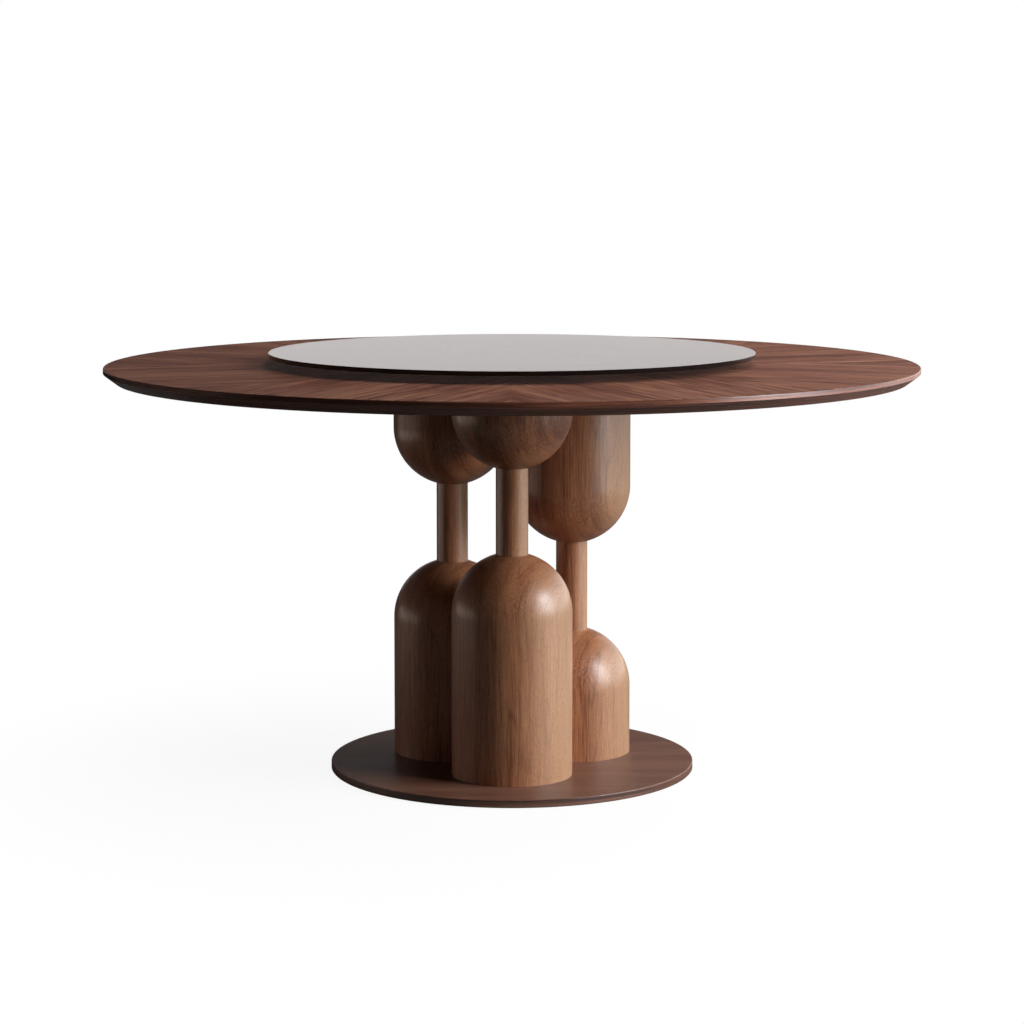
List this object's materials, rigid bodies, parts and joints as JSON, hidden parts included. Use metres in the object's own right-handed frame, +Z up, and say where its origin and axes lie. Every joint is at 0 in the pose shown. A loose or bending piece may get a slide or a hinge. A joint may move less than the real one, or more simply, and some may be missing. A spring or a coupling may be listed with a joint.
{
  "type": "dining table with turntable",
  "caption": "Round pedestal dining table: a bevelled veneered top on clustered domed columns over a disc base, with a glass turntable on a ball bearing.",
  "frame": {"origin": "on the floor, under the centre of the round top", "axes": "+Z up; -Y is the front, where the front column stands; +X to the right seen from the front"},
  "size_m": [1.4998, 1.4998, 0.778],
  "materials": {
    "top_veneer": "satin lacquered walnut, sunburst matched",
    "backing_veneer": "matt lacquered walnut",
    "edge_wood": "dark stained satin lacquer",
    "column_wood": "satin lacquered, upright grain",
    "neck_wood": "satin lacquered, upright grain",
    "base_veneer": "satin lacquered, straight grain",
    "fibreboard": "raw fibreboard",
    "plywood": "raw plywood",
    "black_steel": "black powder coat",
    "black_screws": "black oxide",
    "brass": "machined",
    "zinc_steel": "zinc plated",
    "nylon": "moulded",
    "tinted_glass": "polished, dark tinted, toughened",
    "silicone": "translucent silicone",
    "bearing_aluminium": "extruded, satin",
    "cage_plastic": "moulded",
    "ball_steel": "polished"
  },
  "bodies": {
    "table": {"tabletop_core": "fibreboard", "tabletop_veneer_leaves": "top_veneer", "tabletop_underside_veneer": "backing_veneer", "tabletop_edge_lipping": "edge_wood", "mounting_plate": "black_steel", "mounting_plate_screws": "black_screws", "threaded_inserts": "brass", "front_lower_column": "column_wood", "front_neck": "neck_wood", "front_upper_column": "column_wood", "front_foot_plug": "plywood", "front_head_plug": "plywood", "right_lower_column": "column_wood", "right_neck": "neck_wood", "right_upper_column": "column_wood", "right_foot_plug": "plywood", "right_head_plug": "plywood", "left_lower_column": "column_wood", "left_neck": "neck_wood", "left_upper_column": "column_wood", "left_foot_plug": "plywood", "left_head_plug": "plywood", "tie_rods": "zinc_steel", "tie_rod_head_nuts": "zinc_steel", "tie_rod_foot_nuts": "zinc_steel", "tie_rod_washers": "zinc_steel", "column_head_screws": "zinc_steel", "column_foot_screws": "zinc_steel", "base_board": "fibreboard", "base_veneer": "base_veneer", "base_edge_lipping": "edge_wood", "base_weight_plate": "black_steel", "floor_glides": "nylon", "bearing_lower_ring": "bearing_aluminium", "bearing_feet": "silicone"},
    "turntable": {"glass_turntable": "tinted_glass", "turntable_pads": "silicone", "bearing_upper_ring": "bearing_aluminium"},
    "ball_cage": {"bearing_ball_cage": "cage_plastic", "bearing_balls": "ball_steel"}
  },
  "joints": [
    {"name": "turntable_spin", "type": "hinge", "parent": "table", "child": "turntable", "pos_m": [0, 0, 0.7625], "axis": [0, 0, 1], "continuous": true},
    {"name": "ball_cage_roll", "type": "hinge", "parent": "table", "child": "ball_cage", "pos_m": [0, 0, 0.7625], "axis": [0, 0, 1], "continuous": true}
  ],
  "couplings": [
    {"joint": "ball_cage_roll", "follows": "turntable_spin", "ratio": 0.5}
  ]
}
